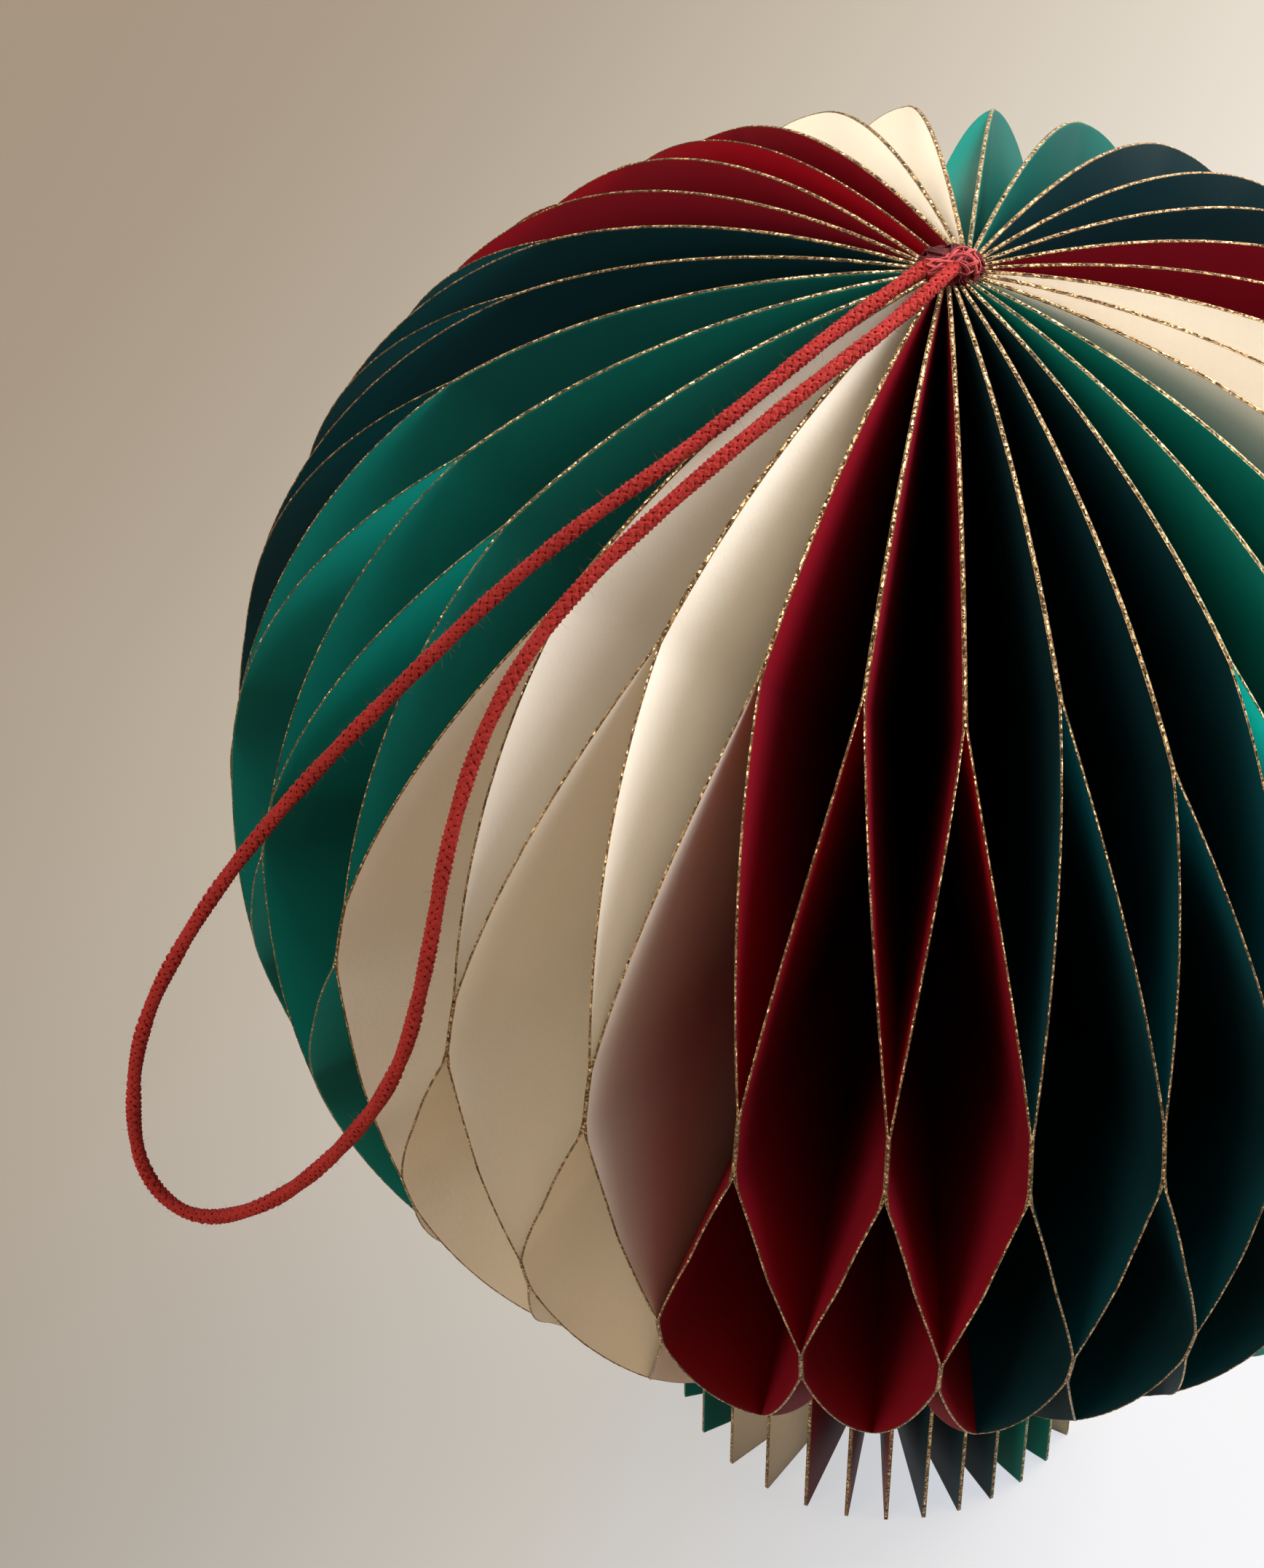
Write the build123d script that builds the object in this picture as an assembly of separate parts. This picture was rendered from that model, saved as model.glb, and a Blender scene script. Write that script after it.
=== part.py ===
"""Honeycomb paper ball ornament: 61 card leaves fanned round a small core, with a hanging cord."""
import os
from math import asin, atan2, cos, degrees, hypot, pi, radians, sin, tan

from build123d import *

# Sizes are millimetres. +Z is up and the origin is on the table, under the middle of the tail.

# card and glue
card = 0.25                  # thickness of one leaf
glue_gap = 0.03              # between two leaves that are glued face to face
spine_clearance = 0.07       # between neighbouring pairs where they stand round the core

# the ball
pair_count = 30              # leaves stand round the core in glued pairs
ball_radius = 60.0           # rim of a leaf at its widest
crown_height = 53.4          # from the widest ring up to the crown
crown_squareness = 2.2       # 2 is an ellipse, more is flatter on top
bottom_depth = 54.3          # from the widest ring down to where the rims would meet
core_radius = 3.3            # round hole that the spines stand about

# the tail, a short straight skirt below the ball
tail_radius = 20.6
tail_depth = 80.3            # from the widest ring down to the tail's flat end

# where the leaves are glued, as angles down from the crown
split_angle = 41.5           # a pair parts here
side_joint_angle = 79.0      # each leaf meets the next pair's leaf
side_joint_hold = 3.0        # and stays on it this far up and down the rim
rejoin_angle = 103.0         # the pair meets again
rejoin_hold = 2.4
under_joint_angle = 127.0    # each leaf meets the next pair's leaf again
under_joint_hold = 1.0
late_split = {11: 7.0, 9: 1.5, 1: -5.0, 30: -5.0}   # pairs whose upper glue ends elsewhere
joint_ease = 0.25            # how much more a leaf bends at one end of a free stretch than at the other
rim_step = 4.0               # degrees of rim from one crease of the bent card to the next

# how unevenly the pairs are opened
first_line = -187.2          # direction of pair 1, in degrees from +X
swing_once = 4.0             # one squeeze and one spread a turn
swing_twice = 3.7            # and two a turn on top
squeezed_pair = 7            # the pairs crowd after this one
first_spine = -174.0         # place of pair 1's spine round the core

# the closing leaf stands alone in the pocket after this pair
closing_pair = 27
closing_spine_turn = -8.0    # degrees round the core from the next pair's spine

# cards of the leaves in turn: five of each, beginning part way through the petrol ones
card_order = (["petrol"] * 3 + ["teal"] * 5 + ["cream"] * 5 + ["red"] * 5 + ["petrol"] * 2) * 3
shared_nodes = [17, 37, 57]  # these leaves share a node with the next one, to keep to 60 files

# hanging cord
cord_diameter = 1.4
cord_corner = 0.45           # share of the shorter run that a corner's arc takes
knot_diameter = 2.8
knot_length = 5.6
knot_tilt = 12.0             # degrees about +Z that the knot lies across the core
knot_stem_diameter = 3.6
knot_stem_length = 9.0
knot_seat = 0.3              # the knot's belly above the crown

widest_height = tail_depth   # height of the widest ring above the table
notch_angle = 180 - degrees(asin(tail_radius / ball_radius))   # where the rim turns down into the tail

# cord route, heights above the table, from the knot over the shoulder and back
cord_route = [
    (-1.6, -1.2, 135.5), (-7.9, -8.9, 134.7), (-18.0, -20.3, 131.1), (-29.4, -26.9, 124.7),
    (-41.3, -31.8, 112.8), (-50.4, -31.6, 100.2), (-57.2, -33.4, 90.0), (-62.9, -36.0, 78.4),
    (-63.9, -38.0, 67.2), (-62.2, -39.2, 61.8), (-58.0, -41.0, 60.4), (-51.2, -43.0, 65.6),
    (-44.6, -45.2, 75.4), (-39.2, -47.3, 87.0), (-36.8, -46.7, 98.0), (-35.2, -42.2, 109.0),
    (-32.6, -37.0, 116.6), (-27.7, -31.5, 123.3), (-19.4, -24.1, 129.6), (-10.6, -14.9, 133.6),
    (-3.4, -5.6, 135.1), (0.6, -1.0, 135.4),
]


def rim_profile(angle):
    """Radius and height of a leaf's rim at an angle down from the crown."""
    radius = ball_radius * sin(radians(angle))
    if angle < 90:
        rise = (1 - (radius / ball_radius) ** crown_squareness) ** (1 / crown_squareness)
        return radius, widest_height + crown_height * rise
    return radius, widest_height + bottom_depth * cos(radians(angle))


def line_direction(pair):
    """Direction that a pair points in, degrees. The pockets are narrow at the front, wide behind."""
    turn = 360 / pair_count
    place = radians(turn * (pair - squeezed_pair))
    return first_line + turn * (pair - 1) + swing_once * cos(place) + swing_twice * cos(2 * place)


def spine_place(pair):
    """Angle of a pair's spine round the core: tightly packed, open only after the closing pair."""
    pitch = degrees((2 * card + glue_gap + spine_clearance) / core_radius)
    first_pair = closing_pair + 1 - pair_count
    return first_spine + pitch * ((pair - first_pair) % pair_count + first_pair - 1)


def openness(pair, angle):
    """How far a leaf has left its pair for its neighbour, 0 to 1, at an angle down the rim."""
    free_stretches = [
        (split_angle + late_split.get(pair, 0), side_joint_angle - side_joint_hold, 0, 1, joint_ease),
        (side_joint_angle + side_joint_hold, rejoin_angle - rejoin_hold, 1, 0, joint_ease),
        (rejoin_angle + rejoin_hold, under_joint_angle - under_joint_hold, 0, 1, -joint_ease),
        (under_joint_angle + under_joint_hold, notch_angle, 1, 0, joint_ease),
    ]
    for start, end, before, after, ease in free_stretches:
        if angle <= end:
            along = max(0, (angle - start) / (end - start))
            return before + (after - before) * along * (1 + ease - ease * along)
    return 0


def frame_of(pair):
    """Spine point, pointing direction and sideways direction of a pair, seen from above."""
    way = radians(line_direction(pair))
    place = radians(spine_place(pair))
    spine = Vector(core_radius * cos(place), core_radius * sin(place), 0)
    return spine, Vector(cos(way), sin(way), 0), Vector(-sin(way), cos(way), 0)


def joint_direction(pair, side):
    """Direction of the middle of the pocket on one side of a pair, degrees."""
    return (line_direction(pair) + line_direction(pair + side)) / 2


def rim_angles():
    """Angles of the creases down the rim: even steps that also hit the glued joints."""
    top = degrees(asin(core_radius / ball_radius))
    stops = [top, split_angle, side_joint_angle - side_joint_hold, side_joint_angle + side_joint_hold,
             rejoin_angle - rejoin_hold, rejoin_angle + rejoin_hold, under_joint_angle - under_joint_hold,
             under_joint_angle + under_joint_hold, notch_angle]
    angles = [top]
    for start, end in zip(stops, stops[1:]):
        steps = max(1, round((end - start) / rim_step))
        angles += [start + (end - start) * k / steps for k in range(1, steps + 1)]
    return angles


def sheet_solid(outer, shift):
    """A card sheet: facets given by their corners, and the same facets moved by the thickness."""
    facets = [[Vector(*p) for p in facet] for facet in outer]
    edges = {}
    for facet in facets:
        for a, b in zip(facet, facet[1:] + facet[:1]):
            key = (tuple(round(v, 6) for v in a), tuple(round(v, 6) for v in b))
            if key[::-1] in edges:
                del edges[key[::-1]]
            else:
                edges[key] = (a, b)
    faces = [Face(Wire.make_polygon(facet)) for facet in facets]
    faces += [Face(Wire.make_polygon([p + shift for p in facet])) for facet in facets]
    faces += [Face(Wire.make_polygon([a, b, b + shift, a + shift])) for a, b in edges.values()]
    return Solid(Shell(faces))


def leaf(pair, side):
    """One leaf of a pair. Side 1 is the leaf on the next pair's side, -1 the one before."""
    spine, out, across = frame_of(pair)
    face_offset = glue_gap / 2 + card
    hub = spine + across * (side * face_offset)
    joint = radians(joint_direction(pair, side))
    closing = (pair == closing_pair and side > 0) or (pair == closing_pair + 1 and side < 0)
    joint_gap = glue_gap / 2 + ((card / 2 + glue_gap / 2) if closing else 0)

    def rim_point(angle):
        radius, height = rim_profile(angle)
        flat = hub + out * (radius - core_radius)
        flat_way = atan2(flat.Y, flat.X)
        joint_way = joint - side * joint_gap / radius
        swing = (joint_way - flat_way + pi) % (2 * pi) - pi
        way = flat_way + swing * openness(pair, angle)
        reach = hypot(flat.X, flat.Y)
        return Vector(reach * cos(way), reach * sin(way), height)

    angles = rim_angles()
    rim = [rim_point(angle) for angle in angles]
    split = angles.index(split_angle)
    if pair in late_split:
        split = min(split, sum(1 for angle in angles if angle <= split_angle + late_split[pair]) - 1)
    middle = Vector(hub.X, hub.Y, widest_height)
    tail_out = hub + out * (tail_radius - core_radius)
    crown_panel = [middle] + [Vector(hub.X, hub.Y, rim[0].Z)] + rim[1:split + 1]
    tail_panel = [middle, rim[-1], Vector(tail_out.X, tail_out.Y, 0), Vector(hub.X, hub.Y, 0)]
    facets = [crown_panel]
    facets += [[middle, rim[k], rim[k + 1]] for k in range(split, len(rim) - 1)]
    facets += [tail_panel]
    return sheet_solid(facets, across * (-side * card))


def closing_leaf():
    """The flat leaf between the two ends of the fan, in the middle of its pocket."""
    way = radians(joint_direction(closing_pair, 1))
    place = radians(spine_place(closing_pair + 1 - pair_count) + closing_spine_turn)
    out = Vector(cos(way), sin(way), 0)
    across = Vector(-sin(way), cos(way), 0)
    rim = [rim_profile(angle) for angle in rim_angles()]
    start = core_radius * cos(place - way)
    outline = [(start, rim[0][1])] + [point for point in rim if point[0] > start + card]
    outline += [(tail_radius, 0), (start, 0)]
    panel = [out * radius + Vector(0, 0, height) - across * (card / 2) for radius, height in outline]
    return sheet_solid([panel], across * card)


def cord_loop():
    """The cord as straight runs joined by arcs, each as large as its two runs allow."""
    points = [Vector(*point) for point in cord_route]
    radii = []
    for before, at, after in zip(points, points[1:], points[2:]):
        turn = radians((at - before).get_angle(after - at))
        shorter = min((at - before).length, (after - at).length)
        radii.append(cord_corner * shorter / tan(turn / 2))
    print("cord arc radii", [round(radius, 1) for radius in radii])
    path = FilletPolyline(*points, radius=radii)
    start = Plane(origin=path @ 0, z_dir=path % 0)
    tube = sweep(start * Circle(cord_diameter / 2), path=path)
    section = pi * cord_diameter ** 2 / 4
    print("cord length", round(path.length, 1), "volume ratio", round(tube.volume / section / path.length, 4))
    return tube


def cord_knot():
    """The opened, bunched end of the braid across the core, with its tucked ends below."""
    height = widest_height + crown_height + knot_seat + knot_diameter / 2
    straight = knot_length - knot_diameter
    bunch = Cylinder(knot_diameter / 2, straight, rotation=(0, 90, 0))
    bunch += Pos(straight / 2, 0, 0) * Sphere(knot_diameter / 2)
    bunch += Pos(-straight / 2, 0, 0) * Sphere(knot_diameter / 2)
    stem = Cylinder(knot_stem_diameter / 2, knot_stem_length, align=(Align.CENTER, Align.CENTER, Align.MAX))
    return Pos(0, 0, height) * Rot(0, 0, knot_tilt) * (bunch + stem)


def write(name, solids):
    """One STEP file for one node."""
    shape = solids[0] if len(solids) == 1 else Compound(children=solids)
    export_step(shape, os.path.join("parts", name + ".step"))


os.makedirs("parts", exist_ok=True)
counts = dict.fromkeys(card_order, 0)
leaf_total = 2 * pair_count
index = 1
while index <= leaf_total:
    colour = card_order[(index - 1) % len(card_order)]
    counts[colour] += 1
    members = [index, index + 1] if index in shared_nodes else [index]
    leaves = [leaf((member + 1) // 2, 1 if member % 2 == 0 else -1) for member in members]
    kind = "leaf_pair" if len(members) > 1 else "leaf"
    write(f"{colour}_{kind}_{counts[colour]:02d}", leaves)
    index += len(members)
write("closing_leaf", [closing_leaf()])
write("cord_loop", [cord_loop()])
write("cord_knot", [cord_knot()])
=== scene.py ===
import bpy
from math import asin, cos, degrees, pi, radians, sin
from mathutils import Matrix, Vector


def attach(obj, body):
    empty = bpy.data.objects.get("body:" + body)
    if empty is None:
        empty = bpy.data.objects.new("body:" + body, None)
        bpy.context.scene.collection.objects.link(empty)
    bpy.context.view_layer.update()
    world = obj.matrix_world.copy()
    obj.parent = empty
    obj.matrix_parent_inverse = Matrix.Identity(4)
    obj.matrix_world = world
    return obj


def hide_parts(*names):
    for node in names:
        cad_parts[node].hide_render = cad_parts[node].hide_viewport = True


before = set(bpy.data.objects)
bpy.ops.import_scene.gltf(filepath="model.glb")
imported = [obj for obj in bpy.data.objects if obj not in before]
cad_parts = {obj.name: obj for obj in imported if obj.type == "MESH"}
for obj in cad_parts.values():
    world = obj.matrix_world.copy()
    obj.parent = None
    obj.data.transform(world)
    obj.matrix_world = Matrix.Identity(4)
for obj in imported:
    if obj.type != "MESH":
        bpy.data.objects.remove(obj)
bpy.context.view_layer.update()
scene = bpy.context.scene
scene.view_settings.view_transform = "Standard"


class Wire:
    # a node's output that can be added, multiplied and so on, in shaders and in geometry
    def __init__(self, board, socket):
        self.board, self.socket = board, socket

    def __add__(self, other):
        return self.board.maths("ADD", self, other)

    def __radd__(self, other):
        return self.board.maths("ADD", other, self)

    def __sub__(self, other):
        return self.board.maths("SUBTRACT", self, other)

    def __rsub__(self, other):
        return self.board.maths("SUBTRACT", other, self)

    def __mul__(self, other):
        return self.board.maths("MULTIPLY", self, other)

    def __rmul__(self, other):
        return self.board.maths("MULTIPLY", other, self)

    def __truediv__(self, other):
        return self.board.maths("DIVIDE", self, other)

    def __rtruediv__(self, other):
        return self.board.maths("DIVIDE", other, self)

    def __pow__(self, other):
        return self.board.maths("POWER", self, other)

    def __rpow__(self, other):
        return self.board.maths("POWER", other, self)

    def sine(self):
        return self.board.maths("SINE", self)

    def cosine(self):
        return self.board.maths("COSINE", self)


class Board:
    # one node tree; add() makes any node from its type, settings and sockets
    def __init__(self, tree):
        self.tree = tree

    def add(self, kind, settings=None, values=None, output=0):
        node = self.tree.nodes.new(kind)
        for name, value in (settings or {}).items():
            if name == "stops":
                self.fillRamp(node.color_ramp, value)
            else:
                setattr(node, name, value)
        for key, value in (values or {}).items():
            self.feed(node.inputs[key], value)
        return Wire(self, node.outputs[output]) if len(node.outputs) else node

    def feed(self, socket, value):
        # a list is several wires into one socket
        for item in value if isinstance(value, list) else [value]:
            if isinstance(item, Wire):
                self.tree.links.new(item.socket, socket)
            else:
                socket.default_value = item

    def fillRamp(self, ramp, stops):
        while len(ramp.elements) < len(stops):
            ramp.elements.new(1)
        for element, (place, colour) in zip(ramp.elements, stops):
            element.position, element.color = place, colour

    def again(self, wire, output):
        # another output of the node behind a wire
        return Wire(self, wire.socket.node.outputs[output])

    def maths(self, operation, *values):
        return self.add("ShaderNodeMath", {"operation": operation}, dict(enumerate(values)))

    def vector(self, x, y, z):
        return self.add("ShaderNodeCombineXYZ", None, {0: x, 1: y, 2: z})

    def vectors(self, operation, *values):
        return self.add("ShaderNodeVectorMath", {"operation": operation}, dict(enumerate(values)))

    def scaled(self, vector, scale):
        return self.add("ShaderNodeVectorMath", {"operation": "SCALE"}, {0: vector, "Scale": scale})

    def span(self, value, fromLow, fromHigh, toLow, toHigh):
        # a straight ramp, held at both ends
        values = {0: value, 1: fromLow, 2: fromHigh, 3: toLow, 4: toHigh}
        return self.add("ShaderNodeMapRange", None, values)

    def noise(self, place, scale, detail=2.0, output=0):
        values = {"Vector": place, "Scale": scale, "Detail": detail}
        return self.add("ShaderNodeTexNoise", None, values, output)

    def chance(self, low, high, seed):
        return self.add("FunctionNodeRandomValue", {"data_type": "FLOAT"}, {2: low, 3: high, "Seed": seed}, 1)

    def chanceVector(self, low, high, seed):
        settings = {"data_type": "FLOAT_VECTOR"}
        return self.add("FunctionNodeRandomValue", settings, {0: (low,) * 3, 1: (high,) * 3, "Seed": seed})


socketKinds = {"geometry": "NodeSocketGeometry", "number": "NodeSocketFloat", "whole": "NodeSocketInt",
               "material": "NodeSocketMaterial"}


def newTree(name, inputs):
    # a geometry tree with named inputs; returns its board and its inputs as wires
    tree = bpy.data.node_groups.new(name, "GeometryNodeTree")
    tree.interface.new_socket(name="Geometry", in_out="OUTPUT", socket_type=socketKinds["geometry"])
    for label, kind in inputs.items():
        tree.interface.new_socket(name=label, in_out="INPUT", socket_type=socketKinds[kind])
    board = Board(tree)
    entry = tree.nodes.new("NodeGroupInput")
    return board, {label: Wire(board, entry.outputs[label]) for label in inputs}


def endTree(board, geometry, material):
    # every tree ends the same way: real faces, one finish
    plain = board.add("GeometryNodeRealizeInstances", None, {0: geometry})
    done = board.add("GeometryNodeSetMaterial", None, {"Geometry": plain, "Material": material})
    board.add("NodeGroupOutput", None, {0: done})


def grow(tree, name, values, start=None):
    # runs a tree with these inputs, on a line if it needs one, and returns the plain mesh object it makes
    maker = bpy.data.objects.new(name + "Maker", start or bpy.data.meshes.new(name + "Start"))
    scene.collection.objects.link(maker)
    modifier = maker.modifiers.new("grow", "NODES")
    modifier.node_group = tree
    for item in tree.interface.items_tree:
        if item.in_out == "INPUT" and item.name in values:
            modifier[item.identifier] = values[item.name]
    bpy.context.view_layer.update()
    ready = maker.evaluated_get(bpy.context.evaluated_depsgraph_get())
    mesh = bpy.data.meshes.new_from_object(ready)
    maker.modifiers.remove(modifier)
    bpy.data.objects.remove(maker)
    mesh.name = name
    made = bpy.data.objects.new(name, mesh)
    scene.collection.objects.link(made)
    return made


def joined(name, objects):
    # several plain meshes as one piece
    first = objects[0]
    if len(objects) > 1:
        with bpy.context.temp_override(active_object=first, object=first, selected_objects=objects,
                                       selected_editable_objects=objects):
            bpy.ops.object.join()
    first.name = name
    first.data.name = name
    return first


def handOver(piece, slot, *nodes):
    # gives the frame a finished piece and the nodes that it stands in for
    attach(piece, "root")
    if nodes:
        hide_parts(*nodes)


# in front of the ball and above it, turned a little to the left
camera = dict(
    place=(0.0, -0.2678, 0.3241), turn=-5.385, tip=-42.69, lens=94.75, sensor=36.0, near=0.01, far=20,
)


def makeCamera():
    turn, tip = radians(camera["turn"]), radians(camera["tip"])
    ahead = Vector((sin(turn) * cos(tip), cos(turn) * cos(tip), sin(tip)))
    right = Vector((cos(turn), -sin(turn), 0))
    up = right.cross(ahead)
    data = bpy.data.cameras.new("viewer")
    data.lens, data.sensor_width = camera["lens"], camera["sensor"]
    data.clip_start, data.clip_end = camera["near"], camera["far"]
    viewer = bpy.data.objects.new("viewer", data)
    facing = Matrix((right, up, -ahead)).transposed().to_4x4()
    viewer.matrix_world = Matrix.Translation(camera["place"]) @ facing
    scene.collection.objects.link(viewer)
    scene.camera = viewer


makeCamera()
print("camera ready")


def newMaterial(name):
    material = bpy.data.materials.new(name)
    material.use_nodes = True
    material.node_tree.nodes.clear()
    return material, Board(material.node_tree)


def finishMaterial(board, shader):
    board.add("ShaderNodeOutputMaterial", None, {"Surface": shader})


def mixColours(board, share, first, second):
    return board.add("ShaderNodeMix", {"data_type": "RGBA"}, {"Factor": share, 6: first, 7: second}, 2)


gold = dict(
    pale=(0.84, 0.57, 0.28, 1), deep=(0.11, 0.062, 0.028, 1), skew=2.1,  # more skew, more of the deep gold
    grainSize=5200, tilt=1.3, metal=0.85, roughness=0.26, roughSpread=0.22,
    crownInner=0.003, crownOuter=0.024,  # it lies thicker this near the ball's axis
)


def goldGrains(board, place):
    # each grain has its own gold; gives the colour, the grains as a vector and their second number
    grain = board.add("ShaderNodeTexVoronoi", None, {"Vector": place, "Scale": gold["grainSize"]}, "Color")
    tint = board.add("ShaderNodeSeparateColor", None, {0: grain})
    return mixColours(board, tint ** gold["skew"], gold["deep"], gold["pale"]), grain, board.again(tint, 1)


def byCrown(board, place, atCrown, elsewhere):
    # a number that changes evenly with the distance from the ball's axis
    x = board.add("ShaderNodeSeparateXYZ", None, {0: place})
    y = board.again(x, 1)
    return board.span((x * x + y * y) ** 0.5, gold["crownInner"], gold["crownOuter"], atCrown, elsewhere)


def makeGlitter():
    # every grain is a tiny mirror with its own tilt and its own gold
    material, board = newMaterial("gold_glitter")
    place = board.add("ShaderNodeTexCoord", None, None, "Object")
    colour, grain, second = goldGrains(board, place)
    face = board.add("ShaderNodeNewGeometry", None, None, "Normal")
    lean = board.scaled(board.vectors("SUBTRACT", grain, (0.5, 0.5, 0.5)), gold["tilt"])
    normal = board.vectors("NORMALIZE", board.vectors("ADD", face, lean))
    rough = gold["roughness"] + second * gold["roughSpread"]
    shader = board.add("ShaderNodeBsdfPrincipled", None, {
        "Base Color": colour, "Metallic": gold["metal"], "Roughness": rough, "Normal": normal})
    finishMaterial(board, shader)
    return material


card = dict(
    cloudSize=55, cloudShare=0.75, deepen=0.86, lighten=1.10, leastDye=0.002,
    toothSize=2600, toothDepth=0.00004, toothStrength=0.35, waveSize=38, waveDepth=0.0009, waveStrength=0.5,
    roughness=0.45, grain=0.06, gloss=0.07,
    band=0.0009, crownBand=0.0024, raggedness=1.6,  # this share of the way in from the rim is dusted gold
    dustShade=0.35, underDust=(0.08, 0.048, 0.022, 1), dustMetal=0.7,
)
cards = dict(  # through is the colour of the light that comes through, and share how much of it does
    petrol=dict(face=(0.0035, 0.026, 0.032), through=(0.03, 0.36, 0.38), share=0.27),
    teal=dict(face=(0.008, 0.102, 0.090), through=(0.11, 0.93, 0.83), share=0.40),
    cream=dict(face=(0.98, 0.88, 0.77), through=(1.0, 0.80, 0.50), share=0.10),
    red=dict(face=(0.26, 0.008, 0.020), through=(0.58, 0.020, 0.055), share=0.34),
)


def makeCard(name, face, through, share):
    # matt dyed card: a fine tooth, a slow wave, faint clouding in the dye, and some light through it
    material, board = newMaterial(name)
    place = board.add("ShaderNodeTexCoord", None, None, "Object")
    cloud = board.noise(place, card["cloudSize"], detail=4.0)
    tooth = board.noise(place, card["toothSize"], detail=3.0)
    wave = board.noise(place, card["waveSize"], detail=0.0)
    deep = tuple(c * card["deepen"] for c in face) + (1,)
    pale = tuple(min(1, c * card["lighten"] + card["leastDye"]) for c in face) + (1,)
    clouded = cloud * card["cloudShare"] + tooth * (1 - card["cloudShare"])
    dye = mixColours(board, clouded, deep, pale)
    curl = board.add("ShaderNodeBump", None, {
        "Strength": card["waveStrength"], "Distance": card["waveDepth"], "Height": wave})
    bump = board.add("ShaderNodeBump", None, {
        "Strength": card["toothStrength"], "Distance": card["toothDepth"], "Height": tooth, "Normal": curl})
    rough = card["roughness"] - card["grain"] / 2 + tooth * card["grain"]
    # the glitter's glue runs a little way in from the rim, further near the crown
    band = byCrown(board, place, card["crownBand"], card["band"])
    reach = board.add("ShaderNodeAttribute", {"attribute_name": "reach"}, None, "Fac")
    ragged = reach + (tooth - 0.5) * band * card["raggedness"]
    dusted = board.maths("GREATER_THAN", ragged, 1 - band)
    grains = goldGrains(board, place)[0]
    dust = mixColours(board, card["dustShade"], grains, card["underDust"])
    front = board.add("ShaderNodeBsdfPrincipled", None, {
        "Base Color": mixColours(board, dusted, dye, dust), "Roughness": rough,
        "Metallic": dusted * card["dustMetal"], "Normal": bump, "Specular IOR Level": card["gloss"]})
    glow = board.add("ShaderNodeBsdfTranslucent", None, {"Color": through + (1,), "Normal": bump})
    finishMaterial(board, board.add("ShaderNodeMixShader", None, {0: share, 1: front, 2: glow}))
    return material


cotton = dict(
    fibreSize=6000, fibreShare=0.6, fibreDepth=0.00005, fibreStrength=0.6, patchSize=300,
    roughness=0.8, sheen=0.03, gloss=0.08,
)
cottons = dict(
    cord=dict(name="red_cotton", pale=(0.48, 0.041, 0.034, 1), deep=(0.18, 0.011, 0.009, 1)),
    net=dict(name="pale_red_cotton", pale=(0.56, 0.11, 0.11, 1), deep=(0.32, 0.035, 0.040, 1)),
    # the packed end's near-black cotton is painted shade for the dark hole in the core, far darker than the
    # cord's own red
    packed=dict(name="painted_shade_red_cotton", pale=(0.09, 0.004, 0.006, 1), deep=(0.03, 0.001, 0.002, 1)),
)


def makeCotton(name, pale, deep):
    material, board = newMaterial(name)
    place = board.add("ShaderNodeTexCoord", None, None, "Object")
    fibre = board.noise(place, cotton["fibreSize"])
    patch = board.noise(place, cotton["patchSize"])
    mottle = fibre * cotton["fibreShare"] + patch * (1 - cotton["fibreShare"])
    colour = mixColours(board, mottle, deep, pale)
    bump = board.add("ShaderNodeBump", None, {
        "Strength": cotton["fibreStrength"], "Distance": cotton["fibreDepth"], "Height": fibre})
    shader = board.add("ShaderNodeBsdfPrincipled", None, {
        "Base Color": colour, "Roughness": cotton["roughness"], "Normal": bump,
        "Sheen Weight": cotton["sheen"], "Specular IOR Level": cotton["gloss"]})
    finishMaterial(board, shader)
    return material


cardFinish = {name: makeCard(name + "_card", **values) for name, values in cards.items()}
glitterFinish = makeGlitter()
cottonFinish = {name: makeCotton(**values) for name, values in cottons.items()}
print("finishes ready")


def cordLine(name, points, swells=None):
    # one smooth line with these points as its controls
    curve = bpy.data.curves.new(name, "CURVE")
    curve.dimensions = "3D"
    spline = curve.splines.new("NURBS")
    spline.points.add(len(points) - 1)
    for point, place, swell in zip(spline.points, points, swells or [1.0] * len(points)):
        point.co = (*place, 1)
        point.radius = swell
    spline.order_u = 3
    spline.use_endpoint_u = True
    spline.resolution_u = 12
    return curve


def linePoints(curve):
    # the points that the smooth line passes through
    holder = bpy.data.objects.new("lineHolder", curve)
    scene.collection.objects.link(holder)
    bpy.context.view_layer.update()
    mesh = bpy.data.meshes.new_from_object(holder.evaluated_get(bpy.context.evaluated_depsgraph_get()))
    bpy.data.objects.remove(holder)
    return [tuple(v.co) for v in mesh.vertices]


# how any braid of this cotton is plaited; its hairs are the loose fibres that stand off it
plait = dict(threadSides=4, coreSides=12, rippleSize=900, hairLean=(0.1, 0.9), hairLengths=(0.5, 1.6))
braidInputs = {"Geometry": "geometry", "Radius": "number", "Weave": "number", "Pitch": "number",
               "Step": "number", "Strands Each Way": "whole", "Threads": "whole", "Thread Spread": "number",
               "Thread Radius": "number", "Looseness": "number", "Core": "number", "Fuzz": "whole",
               "Fuzz Length": "number", "Fuzz Radius": "number", "Finish": "material"}


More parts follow.
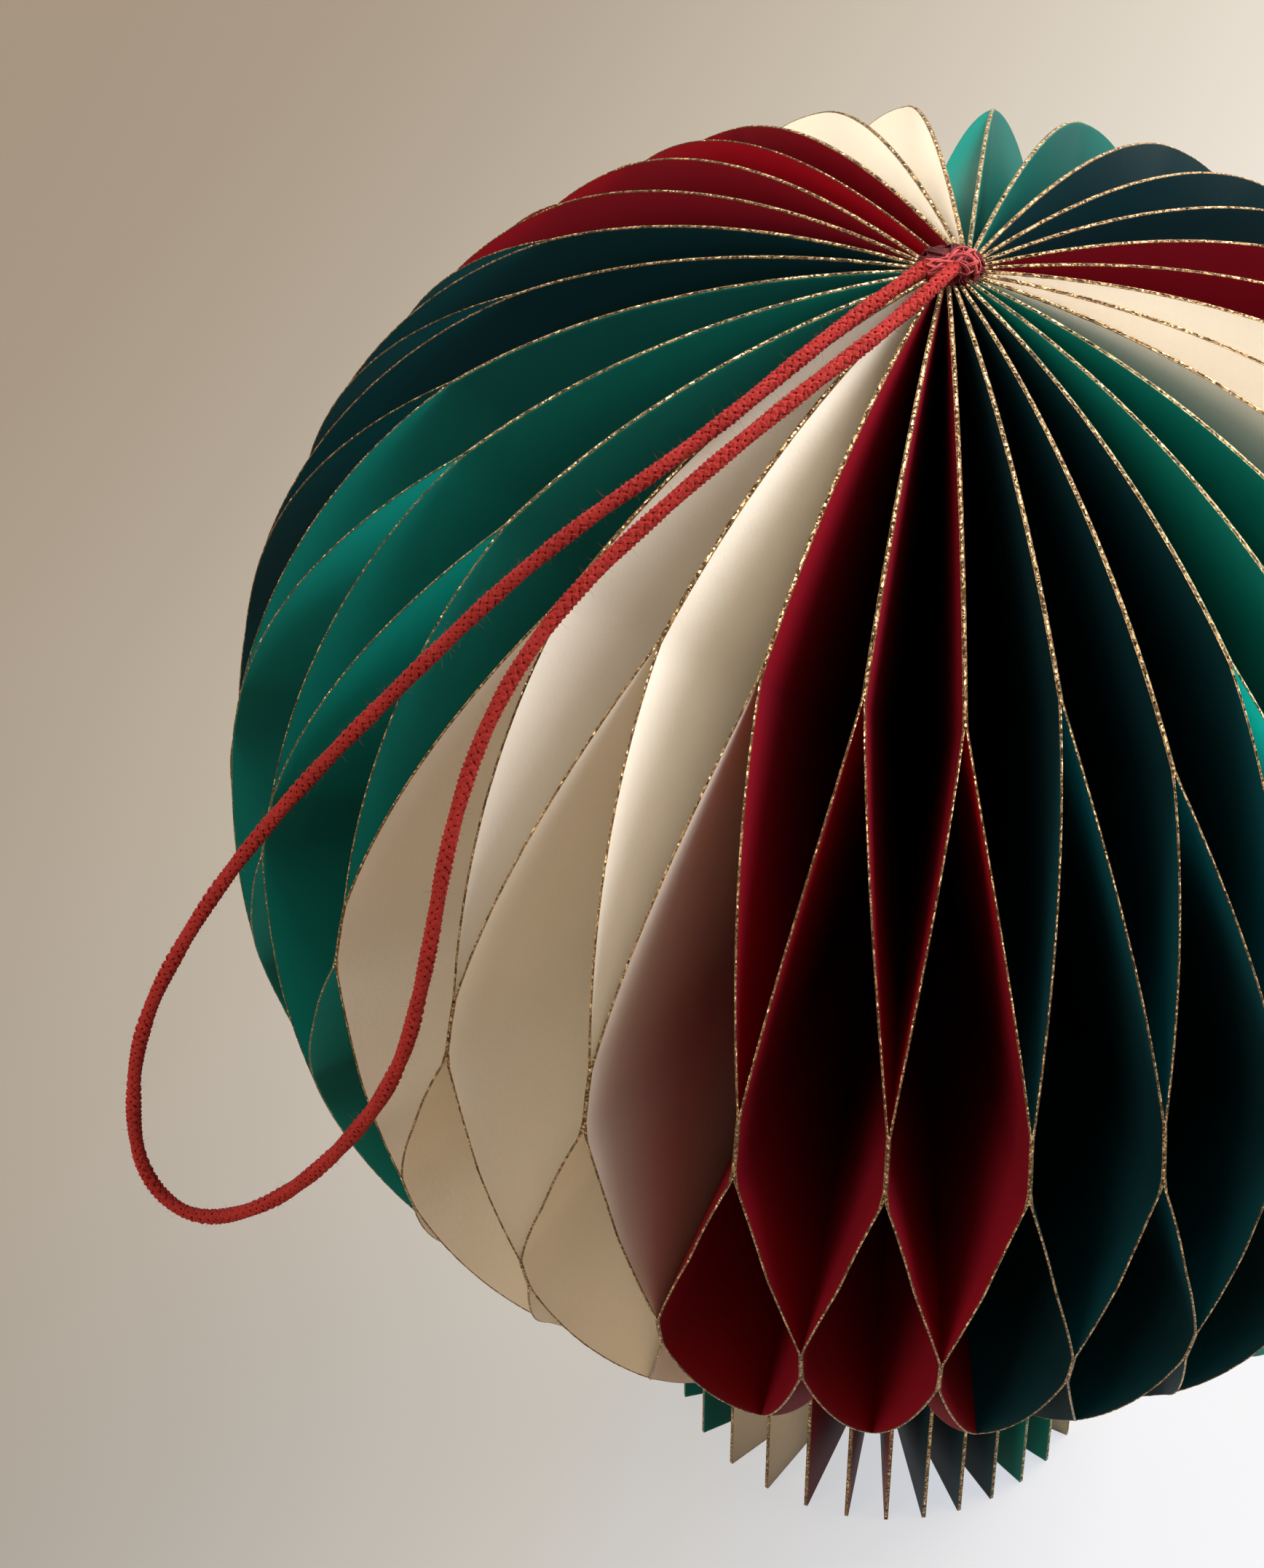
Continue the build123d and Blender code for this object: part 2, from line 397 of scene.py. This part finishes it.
def braidTree():
    # threads in little bundles, wound both ways round a line and passing over and under each other
    board, given = newTree("braid", braidInputs)
    line = board.add("GeometryNodeResampleCurve", {"mode": "LENGTH"}, {
        "Curve": given["Geometry"], "Length": given["Step"]})
    amount = given["Strands Each Way"] * given["Threads"] * 2
    copies = board.add("GeometryNodeDuplicateElements", {"domain": "SPLINE"}, {
        "Geometry": line, "Amount": amount})
    index = board.again(copies, "Duplicate Index")
    way = board.maths("MODULO", index, 2.0) * 2 - 1
    strand = board.maths("FLOOR", index / 2)
    thread = board.maths("MODULO", strand, given["Threads"])
    bundle = board.maths("FLOOR", strand / given["Threads"])
    along = board.add("GeometryNodeSplineParameter", None, None, "Length")
    wind = along / given["Pitch"] * (2 * pi)
    sideways = (thread - (given["Threads"] - 1) / 2) * given["Thread Spread"]
    turn = wind * way + bundle / given["Strands Each Way"] * (2 * pi) + sideways
    hop = (wind * given["Strands Each Way"]).cosine() * way
    ripple = board.noise(board.add("GeometryNodeInputPosition"), plait["rippleSize"], detail=1.0)
    swell = board.add("GeometryNodeInputRadius")
    reach = given["Radius"] * swell + hop * given["Weave"] + (ripple - 0.5) * given["Looseness"]
    across = board.add("GeometryNodeInputNormal")
    third = board.vectors("CROSS_PRODUCT", board.add("GeometryNodeInputTangent"), across)
    shift = board.vectors("ADD", board.scaled(across, reach * turn.cosine()),
                          board.scaled(third, reach * turn.sine()))
    wound = board.add("GeometryNodeSetPosition", None, {"Geometry": copies, "Offset": shift})
    even = board.add("GeometryNodeSetCurveRadius", None, {"Curve": wound, "Radius": 1.0})
    section = board.add("GeometryNodeCurvePrimitiveCircle", None, {
        "Resolution": plait["threadSides"], "Radius": given["Thread Radius"]})
    threads = board.add("GeometryNodeCurveToMesh", None, {
        "Curve": even, "Profile Curve": section, "Fill Caps": True})
    middle = board.add("GeometryNodeCurvePrimitiveCircle", None, {
        "Resolution": plait["coreSides"], "Radius": given["Core"]})
    core = board.add("GeometryNodeCurveToMesh", None, {
        "Curve": line, "Profile Curve": middle, "Scale": swell, "Fill Caps": True})
    body = board.add("GeometryNodeJoinGeometry", None, {0: [threads, core]})
    soft = board.add("GeometryNodeSetShadeSmooth", None, {"Geometry": body})
    hairs = looseHairs(board, given, line)
    endTree(board, board.add("GeometryNodeJoinGeometry", None, {0: [soft, hairs]}), given["Finish"])
    return board.tree


def looseHairs(board, given, line):
    # short fibres standing off the braid in every direction
    size = board.add("GeometryNodeInputRadius")
    spots = board.add("GeometryNodeCurveToPoints", {"mode": "COUNT"}, {"Curve": line, "Count": given["Fuzz"]})
    tangent, normal = board.again(spots, "Tangent"), board.again(spots, "Normal")
    third = board.vectors("CROSS_PRODUCT", tangent, normal)
    angle = board.chance(0.0, 2 * pi, seed=1)
    out = board.vectors("ADD", board.scaled(normal, angle.cosine()), board.scaled(third, angle.sine()))
    rooted = board.add("GeometryNodeSetPosition", None, {
        "Geometry": spots, "Offset": board.scaled(out, given["Radius"] * size)})
    stray = board.chanceVector(-1, 1, seed=2)
    heading = board.vectors("ADD", board.scaled(out, board.chance(*plait["hairLean"], seed=3)), stray)
    facing = board.add("FunctionNodeAlignRotationToVector", {"axis": "Z"}, {"Vector": heading})
    hair = board.add("GeometryNodeMeshCone", {"fill_type": "TRIANGLE_FAN"}, {
        "Vertices": 3, "Radius Top": 0.0, "Radius Bottom": 1.0, "Depth": 1.0})
    long = given["Fuzz Length"] * board.chance(*plait["hairLengths"], seed=4)
    return board.add("GeometryNodeInstanceOnPoints", None, {
        "Points": rooted, "Instance": hair, "Rotation": facing,
        "Scale": board.vector(given["Fuzz Radius"], given["Fuzz Radius"], long)})


braid = braidTree()


def makeBraid(name, sizes, radius, finish, curve):
    return grow(braid, name, {
        "Radius": radius, "Weave": sizes["weave"], "Pitch": sizes["pitch"], "Step": sizes["step"],
        "Strands Each Way": sizes["strandsEachWay"], "Threads": sizes["threads"],
        "Thread Spread": sizes["threadSpread"], "Thread Radius": sizes["threadRadius"],
        "Looseness": sizes["looseness"], "Core": sizes["core"], "Fuzz": sizes["fuzz"],
        "Fuzz Length": sizes["fuzzLength"], "Fuzz Radius": sizes["fuzzRadius"], "Finish": finish}, curve)


# the braid's two ends: opened out into a loose net over the crown, and packed down into the core below it as
# a near-black plug of painted shade for the dark hole there; the fourth number of a route's point is its half
# width, in millimetres
millimetre = 0.001
crownEnds = dict(
    net=dict(
        weave=0.00008, pitch=0.0085, step=0.0002, strandsEachWay=6, threads=2, threadSpread=0.14,
        threadRadius=0.00008, looseness=0.0006, core=0.00008, fuzz=110, fuzzLength=0.0009,
        fuzzRadius=0.000011,
        route=[
            (-0.0019, -0.0026, 0.1352, 0.55), (-0.0012, -0.0025, 0.1353, 0.50),
            (-0.0006, -0.0022, 0.1354, 0.40), (0.0000, -0.0018, 0.1353, 0.75),
            (0.0005, -0.0014, 0.1352, 1.00), (0.0011, -0.0010, 0.1349, 1.05),
            (0.0017, -0.0006, 0.1338, 0.85), (0.0018, -0.0004, 0.1324, 0.50),
        ]),
    packed=dict(
        weave=0.00012, pitch=0.012, step=0.0005, strandsEachWay=7, threads=3, threadSpread=0.10,
        threadRadius=0.00014, looseness=0.0003, core=0.00088, fuzz=60, fuzzLength=0.0009,
        fuzzRadius=0.000012,
        route=[
            (0, 0, 0.1230, 2.9), (0, 0, 0.1270, 2.9), (0, 0, 0.1320, 2.9), (0, 0, 0.1337, 2.9),
            (0, 0, 0.1343, 1.8), (0, 0, 0.1344, 0.2),
        ]),
)


def makeEnds():
    parts = []
    for name, end in crownEnds.items():
        places = [point[:3] for point in end["route"]]
        curve = cordLine(name + "Line", places, [point[3] for point in end["route"]])
        parts.append(makeBraid("cord_" + name, end, millimetre, cottonFinish[name], curve))
    piece = joined("crown_ends", parts)
    handOver(piece, "red_cord", "cord_knot")
    return piece


hangingCord = dict(
    diameter=0.0014, length=0.240, weave=0.00009, pitch=0.0034, step=0.00045, strandsEachWay=4, threads=4,
    threadSpread=0.25, threadRadius=0.000095, looseness=0.00005, core=0.00042, fuzz=1300, fuzzLength=0.0008,
    fuzzRadius=0.000011,
    route=[
        (-0.0019, -0.0024, 0.1352), (-0.0079, -0.0094, 0.1346), (-0.0180, -0.0207, 0.1310),
        (-0.0294, -0.0269, 0.1247), (-0.0413, -0.0318, 0.1128), (-0.0504, -0.0316, 0.1002),
        (-0.0572, -0.0334, 0.0900), (-0.0629, -0.0360, 0.0784), (-0.0639, -0.0380, 0.0672),
        (-0.0622, -0.0392, 0.0618), (-0.0580, -0.0410, 0.0604), (-0.0512, -0.0430, 0.0656),
        (-0.0446, -0.0452, 0.0754), (-0.0392, -0.0473, 0.0870), (-0.0368, -0.0467, 0.0980),
        (-0.0352, -0.0422, 0.1090), (-0.0326, -0.0370, 0.1166), (-0.0277, -0.0317, 0.1233),
        (-0.0194, -0.0250, 0.1292), (-0.0106, -0.0168, 0.1333), (-0.0036, -0.0088, 0.1348),
        (0.0003, -0.0022, 0.1352),
    ],
)


def makeCord(ends):
    curve = cordLine("cordLine", hangingCord["route"])
    path = linePoints(curve)
    radius = hangingCord["diameter"] / 2 - hangingCord["threadRadius"] - hangingCord["weave"]
    piece = makeBraid("hanging_cord", hangingCord, radius, cottonFinish["cord"], curve)
    handOver(piece, "red_cord", "cord_loop")


makeCord(makeEnds())
print("cord ready")


# angles down the rim are in degrees from the crown, and those round the axis from straight right
ball = dict(
    pairs=30, ballRadius=0.060, crownHeight=0.0534, crownSquareness=2.2, bottomDepth=0.0543,
    widestHeight=0.0803, tailRadius=0.0206, coreRadius=0.0033,
    cardThickness=0.00025, glueGap=0.00003, spineClearance=0.00007,
    paperThickness=0.00019, press=0.00005, tuck=0.0011,  # drawn thinner, glued closer and deeper in the core
    # a leaf leaves its partner at the split, touches the next pair, comes back and touches it again below
    split=41.5, sideJoint=79.0, rejoin=103.0, underJoint=127.0, sideHold=3.0, rejoinHold=2.4, underHold=1.0,
    ease=0.25, lateSplit={11: 7.0, 9: 1.5, 1: -5.0, 30: -5.0},  # pairs that part later or sooner
    # the pairs' lines swing once and twice round the ball, furthest at the swung pair
    firstLine=-187.2, swingOnce=4.0, swingTwice=3.7, swungPair=7, firstSpine=-174.0,
    closingPair=27, closingSpineTurn=-8.0,  # the closing leaf stands after this pair
    rimSteps=96, tailSteps=10, baseSteps=5, spokes=9, sheetWeld=0.00001, shellWeld=0.000001, sharpEdge=0.6,
)
cardOrder = (["petrol"] * 3 + ["teal"] * 5 + ["cream"] * 5 + ["red"] * 5 + ["petrol"] * 2) * 3
sharedNodes = (17, 37, 57)  # each of these leaves is one node with the next
leafInputs = {"Line": "number", "Spine Out": "number", "Spine Across": "number", "Joint": "number",
              "Joint Gap": "number", "Split": "number", "Thickness": "number", "Finish": "material"}
notchAngle = pi - asin(ball["tailRadius"] / ball["ballRadius"])  # where the ball meets its tail


def rimProfile(board, along):
    # angle from the crown, distance from the axis and height of the rim, so many steps down it
    innermost = ball["coreRadius"] - ball["tuck"]
    rimEnd, tailEnd = ball["rimSteps"], ball["rimSteps"] + ball["tailSteps"]
    angle = board.span(along, 0.0, rimEnd, asin(innermost / ball["ballRadius"]), notchAngle)
    radius = angle.sine() * ball["ballRadius"]
    rise = board.maths("MAXIMUM", 1 - angle.sine() ** ball["crownSquareness"], 0.0)
    upper = rise ** (1 / ball["crownSquareness"]) * ball["crownHeight"]
    lower = angle.cosine() * ball["bottomDepth"]
    isUpper = board.maths("LESS_THAN", angle, pi / 2)
    height = upper * isUpper + lower * (1 - isUpper) + ball["widestHeight"]
    notchHeight = ball["widestHeight"] + ball["bottomDepth"] * cos(notchAngle)
    height = height - board.span(along, rimEnd, tailEnd, 0.0, notchHeight)
    inward = ball["tailRadius"] - innermost
    radius = radius - board.span(along, tailEnd, tailEnd + ball["baseSteps"], 0.0, inward)
    return angle, radius, height


def openness(board, split, angle):
    # 0 where a leaf lies on its partner, 1 where it touches the next pair
    def swing(start, end, ease):
        part = board.span(angle, start, end, 0.0, 1.0)
        return part * (1 + ease) - part * part * ease

    side, sideHold = radians(ball["sideJoint"]), radians(ball["sideHold"])
    rejoin, rejoinHold = radians(ball["rejoin"]), radians(ball["rejoinHold"])
    under, underHold = radians(ball["underJoint"]), radians(ball["underHold"])
    return (swing(split, side - sideHold, ball["ease"])
            - swing(side + sideHold, rejoin - rejoinHold, ball["ease"])
            + swing(rejoin + rejoinHold, under - underHold, -ball["ease"])
            - swing(under + underHold, notchAngle, ball["ease"]))


def leafPoint(board, given, along, reach):
    # a point of a leaf: along counts steps down the rim, reach runs from the middle of the spine to the rim
    angle, radius, height = rimProfile(board, along)
    line, spineOut, spineAcross = given["Line"], given["Spine Out"], given["Spine Across"]
    out = spineOut + radius - ball["coreRadius"]
    flatWay = board.maths("ARCTAN2", spineAcross, out)
    far = (out * out + spineAcross * spineAcross) ** 0.5
    jointWay = given["Joint"] - given["Joint Gap"] / radius
    way = flatWay + (jointWay - flatWay) * openness(board, given["Split"], angle) + line
    rim = board.vector(far * way.cosine(), far * way.sine(), height)
    across = line + pi / 2
    hubOut = spineOut - ball["tuck"]
    hub = board.vector(line.cosine() * hubOut + across.cosine() * spineAcross,
                       line.sine() * hubOut + across.sine() * spineAcross, ball["widestHeight"])
    return board.vectors("ADD", hub, board.scaled(board.vectors("SUBTRACT", rim, hub), reach))


def leafTree():
    # a flat grid bent into a leaf and given its thickness, with the way to the rim kept as an attribute
    board, given = newTree("leaf", leafInputs)
    steps = ball["rimSteps"] + ball["tailSteps"] + ball["baseSteps"]
    grid = board.add("GeometryNodeMeshGrid", None, {
        "Size X": 1.0, "Size Y": 1.0, "Vertices X": ball["spokes"] + 1, "Vertices Y": steps + 1})
    flat = board.add("ShaderNodeSeparateXYZ", None, {0: board.add("GeometryNodeInputPosition")})
    reach, along = flat + 0.5, (board.again(flat, 1) + 0.5) * steps
    marked = board.add("GeometryNodeStoreNamedAttribute", {"data_type": "FLOAT", "domain": "POINT"}, {
        "Geometry": grid, "Name": "reach", "Value": reach})
    bent = board.add("GeometryNodeSetPosition", None, {
        "Geometry": marked, "Position": leafPoint(board, given, along, reach)})
    sheet = board.add("GeometryNodeMergeByDistance", None, {"Geometry": bent, "Distance": ball["sheetWeld"]})
    half = board.scaled(board.add("GeometryNodeInputNormal"), given["Thickness"] * -0.5)
    under = board.add("GeometryNodeSetPosition", None, {"Geometry": sheet, "Offset": half})
    raised = board.add("GeometryNodeExtrudeMesh", {"mode": "FACES"}, {
        "Mesh": under, "Offset Scale": given["Thickness"], "Individual": False})
    turned = board.add("GeometryNodeFlipFaces", None, {0: under})
    shell = board.add("GeometryNodeJoinGeometry", None, {0: [raised, turned]})
    closed = board.add("GeometryNodeMergeByDistance", None, {
        "Geometry": shell, "Distance": ball["shellWeld"]})
    smooth = board.add("GeometryNodeSetShadeSmooth", None, {"Geometry": closed})
    sharp = board.maths("GREATER_THAN", board.add("GeometryNodeInputMeshEdgeAngle"), ball["sharpEdge"])
    crisp = board.add("GeometryNodeSetShadeSmooth", {"domain": "EDGE"}, {
        "Geometry": smooth, "Selection": sharp, "Shade Smooth": False})
    endTree(board, crisp, given["Finish"])
    return board.tree


def lineDirection(pair):
    # the way a pair's joined part runs out from the core, in degrees
    turn = 360 / ball["pairs"]
    place = radians(turn * (pair - ball["swungPair"]))
    swing = ball["swingOnce"] * cos(place) + ball["swingTwice"] * cos(2 * place)
    return ball["firstLine"] + turn * (pair - 1) + swing


def spinePlace(pair):
    # where a pair's spine stands round the core: the spines lie side by side from the closing leaf on
    spineWidth = 2 * ball["cardThickness"] + ball["glueGap"] + ball["spineClearance"]
    pitch = degrees(spineWidth / ball["coreRadius"])
    firstPair = ball["closingPair"] + 1 - ball["pairs"]
    return ball["firstSpine"] + pitch * ((pair - firstPair) % ball["pairs"] + firstPair - 1)


def jointDirection(pair, side):
    # middle of the pocket on one side of a pair
    step = (lineDirection(pair + side) - lineDirection(pair)) / 2
    return lineDirection(pair) + step


def leafNumbers(pair, side):
    # inputs for one leaf of a pair; side is 1 towards the next pair and -1 towards the one before
    line = lineDirection(pair)
    turn = radians(spinePlace(pair) - line)
    gap = ball["glueGap"] / 2 + ball["cardThickness"] / 2 - ball["press"]
    spineAcross = ball["coreRadius"] * sin(turn) + side * gap
    if (pair, side) in ((ball["closingPair"], 1), (ball["closingPair"] + 1, -1)):
        gap += ball["cardThickness"] / 2 + ball["glueGap"] / 2
    return {"Line": radians(line), "Spine Out": ball["coreRadius"] * cos(turn), "Spine Across": spineAcross,
            "Joint": radians(jointDirection(pair, side) - line), "Joint Gap": side * gap,
            "Split": radians(ball["split"] + ball["lateSplit"].get(pair, 0)),
            "Thickness": ball["paperThickness"]}


def closingNumbers():
    # the single leaf that closes the ring stands flat in the middle of its pocket
    line = jointDirection(ball["closingPair"], 1)
    turn = radians(spinePlace(ball["closingPair"] + 1) + ball["closingSpineTurn"] - line)
    return {"Line": radians(line), "Spine Out": ball["coreRadius"] * cos(turn), "Spine Across": 0.0,
            "Joint": 0.0, "Joint Gap": 0.0, "Split": radians(ball["split"]),
            "Thickness": ball["paperThickness"]}


leafShape = leafTree()

glitter = dict(
    beadRadius=0.00005, sides=5, rimLength=0.19, step=0.00042, inset=0.00005, lowestStep=0.15,
    lumpSize=3800, roughness=0.00003, lumpReach=2.4,
    crumbs=1500, crumbSize=0.00004, crumbSizes=(0.45, 1.25), crumbDepth=0.9, crumbTurn=6.28, spread=0.00004,
    crownSwell=1.6, rimsInPiece=6, seed=11,
)
rimInputs = {"Line": "number", "Spine Out": "number", "Spine Across": "number", "Joint": "number",
             "Joint Gap": "number", "Split": "number", "Bead Radius": "number", "Lumps": "number",
             "Crumb Size": "number", "Spread": "number", "Seed": "whole", "Finish": "material"}


def rimTree():
    # a rough bead along the rim with crumbs of glitter stuck on and beside it
    board, given = newTree("glitterRim", rimInputs)
    rimEnd = ball["rimSteps"] + ball["tailSteps"]
    line = board.add("GeometryNodeCurvePrimitiveLine", None, {
        "Start": (0, 0, 0), "End": (glitter["rimLength"], 0, 0)})
    fine = board.add("GeometryNodeResampleCurve", {"mode": "LENGTH"}, {
        "Curve": line, "Length": glitter["step"]})
    share = board.add("GeometryNodeSplineParameter", None, None, "Factor")
    rimPlace = leafPoint(board, given, share * (rimEnd - glitter["lowestStep"]), 1.0)
    rim = board.add("GeometryNodeSetPosition", None, {"Geometry": fine, "Position": rimPlace})
    section = board.add("GeometryNodeCurvePrimitiveCircle", None, {
        "Resolution": glitter["sides"], "Radius": given["Bead Radius"]})
    bead = board.add("GeometryNodeCurveToMesh", None, {
        "Curve": rim, "Profile Curve": section, "Fill Caps": True})
    here = board.add("GeometryNodeInputPosition")
    noise = board.noise(here, glitter["lumpSize"], output="Color")
    uneven = board.vectors("SUBTRACT", noise, (0.5, 0.5, 0.5))
    lump = board.scaled(uneven, given["Lumps"] * glitter["lumpReach"])
    crust = board.add("GeometryNodeSetPosition", None, {"Geometry": bead, "Offset": lump})
    crusted = board.add("GeometryNodeSetShadeSmooth", None, {"Geometry": crust, "Shade Smooth": False})

    points = board.add("GeometryNodeCurveToPoints", {"mode": "COUNT"}, {
        "Curve": rim, "Count": glitter["crumbs"]})
    swell = byCrown(board, here, glitter["crownSwell"], 1.0)
    slip = board.scaled(board.chanceVector(-1, 1, given["Seed"]), given["Spread"] * swell)
    loose = board.add("GeometryNodeSetPosition", None, {"Geometry": points, "Offset": slip})
    crumb = board.add("GeometryNodeMeshCone", {"fill_type": "TRIANGLE_FAN"}, {
        "Vertices": 3, "Radius Top": 0.0, "Radius Bottom": 1.0, "Depth": glitter["crumbDepth"]})
    turn = board.chanceVector(0, glitter["crumbTurn"], given["Seed"] + 1)
    size = board.chance(*glitter["crumbSizes"], given["Seed"] + 2)
    stuck = board.add("GeometryNodeInstanceOnPoints", None, {
        "Points": loose, "Instance": crumb, "Rotation": turn,
        "Scale": board.scaled((1, 1, 1), size * given["Crumb Size"] * swell)})
    both = board.add("GeometryNodeJoinGeometry", None, {0: [crusted, stuck]})
    endTree(board, both, given["Finish"])
    return board.tree


rimShape = rimTree()


def makeLeaf(name, numbers, colour):
    return grow(leafShape, name, {**numbers, "Finish": cardFinish[colour]})


def makeRim(leaf, numbers, side):
    # the two rims of a joined pair lie closer together than the leaves' middles
    values = {key: numbers[key] for key in rimInputs if key in numbers}
    values["Spine Across"] -= side * glitter["inset"]
    values["Joint Gap"] -= side * glitter["inset"]
    values.update({"Bead Radius": glitter["beadRadius"], "Lumps": glitter["roughness"],
                   "Crumb Size": glitter["crumbSize"], "Spread": glitter["spread"],
                   "Seed": glitter["seed"] + leaf * 3, "Finish": glitterFinish})
    return grow(rimShape, f"rim{leaf}", values)


def makeBall():
    counts, rims, leaf = dict.fromkeys(cards, 0), [], 1
    while leaf <= 2 * ball["pairs"]:
        colour = cardOrder[leaf - 1]
        counts[colour] += 1
        kind, members = ("leaf_pair", (leaf, leaf + 1)) if leaf in sharedNodes else ("leaf", (leaf,))
        node = f"{colour}_{kind}_{counts[colour]:02d}"
        sheets = []
        for member in members:
            side = 1 if member % 2 == 0 else -1
            numbers = leafNumbers((member + 1) // 2, side)
            sheets.append(makeLeaf("card_" + node, numbers, colour))
            rims.append(makeRim(member, numbers, side))
        handOver(joined("card_" + node, sheets), colour + "_card", node)
        leaf += len(sheets)
    numbers = closingNumbers()
    handOver(makeLeaf("card_closing_leaf", numbers, "red"), "red_card", "closing_leaf")
    rims.append(makeRim(leaf, numbers, 0))
    together = glitter["rimsInPiece"]
    for first in range(0, len(rims), together):
        piece = joined(f"gold_rims_{first // together + 1:02d}", rims[first:first + together])
        handOver(piece, "gold_glitter")


makeBall()


# one sheet of paper under the ball, with painted light: a glow that only the eye sees, dim beige on the left
# and nearly white on the right
floor = dict(
    halfWidth=4.0, colour=(0.12, 0.105, 0.08, 1), bounce=(0.34, 0.26, 0.18, 1), roughness=0.9,
    paintedLightTowards=(1.0, -0.3), paintedLightFrom=-0.20, paintedLightTo=0.04,
    # the glow is painted light: an emitted ramp, dim beige on the left and near white on the right, seen only
    # by the eye
    glow=[(0.0, (0.088, 0.052, 0.034, 1)), (0.15, (0.10, 0.068, 0.052, 1)), (0.30, (0.16, 0.13, 0.11, 1)),
          (0.45, (0.26, 0.23, 0.20, 1)), (0.60, (0.385, 0.36, 0.33, 1)), (0.72, (0.50, 0.475, 0.44, 1)),
          (0.95, (0.67, 0.705, 0.775, 1))],
)


def makeFloor():
    # painted light: a glow that only the eye sees, dim on the left and bright on the right, and the real
    # light and shadow that fall on it
    material, board = newMaterial("floor")
    place = board.add("ShaderNodeTexCoord", None, None, "Object")
    ground = board.add("ShaderNodeSeparateXYZ", None, {0: place})
    toward = ground * floor["paintedLightTowards"][0] + board.again(ground, 1) * floor["paintedLightTowards"][1]
    share = board.span(toward, floor["paintedLightFrom"], floor["paintedLightTo"], 0.0, 1.0)
    glow = board.add("ShaderNodeValToRGB", {"stops": floor["glow"]}, {0: share})
    path = board.add("ShaderNodeLightPath", None, None, "Is Camera Ray")
    seen = board.maths("MAXIMUM", path, board.again(path, "Is Glossy Ray"))
    seen = board.maths("MAXIMUM", seen, board.again(path, "Is Transmission Ray"))
    shader = board.add("ShaderNodeBsdfPrincipled", None, {
        "Base Color": mixColours(board, seen, floor["bounce"], floor["colour"]),
        "Roughness": floor["roughness"], "Specular IOR Level": 0.0, "Emission Strength": 1.0,
        "Emission Color": mixColours(board, seen, (0, 0, 0, 1), glow)})
    finishMaterial(board, shader)
    half = floor["halfWidth"]
    mesh = bpy.data.meshes.new("floor")
    corners = [(-half, -half, 0), (half, -half, 0), (half, half, 0), (-half, half, 0)]
    mesh.from_pydata(corners, [], [(0, 1, 2, 3)])
    mesh.materials.append(material)
    sheet = bpy.data.objects.new("floor", mesh)
    scene.collection.objects.link(sheet)


cool, warm, soft = (1.0, 0.98, 0.98), (1.0, 0.89, 0.77), (1.0, 0.92, 0.84)
studio = dict(
    aim=(0, 0, 0.08), distance=1.5, lampSize=0.8, world=(0.95, 0.97, 1.0, 1), worldPower=0.03,
    lamps=[  # azimuth, 0 on the viewer's side and 90 on the right; height; power; colour
        (90, 15, 5.8, cool), (90, 42, 17.9, cool), (90, 68, 3.7, cool), (135, 15, 16.8, cool),
        (135, 42, 33.6, cool), (180, 15, 3.2, cool), (180, 42, 5.2, cool), (225, 15, 3.7, cool),
        (270, 15, 1.6, warm), (270, 68, 4.2, soft), (315, 15, 8.9, warm), (315, 42, 5.8, warm),
    ],
)


def makeLamp(azimuth, height, power, colour):
    turn, tip = radians(azimuth), radians(height)
    away = Vector((sin(turn) * cos(tip), -cos(turn) * cos(tip), sin(tip))) * studio["distance"]
    data = bpy.data.lights.new(f"lamp{azimuth}x{height}", "AREA")
    data.energy, data.color, data.size = power, colour, studio["lampSize"]
    lamp = bpy.data.objects.new(data.name, data)
    place = Matrix.Translation(Vector(studio["aim"]) + away)
    lamp.matrix_world = place @ away.to_track_quat("Z", "Y").to_matrix().to_4x4()
    scene.collection.objects.link(lamp)


def makeWorld():
    world = bpy.data.worlds.new("studio")
    world.use_nodes = True
    world.node_tree.nodes.clear()
    board = Board(world.node_tree)
    glow = board.add("ShaderNodeBackground", None, {
        "Color": studio["world"], "Strength": studio["worldPower"]})
    board.add("ShaderNodeOutputWorld", None, {"Surface": glow})
    scene.world = world


makeFloor()
makeWorld()
for lamp in studio["lamps"]:
    makeLamp(*lamp)
print("studio ready")
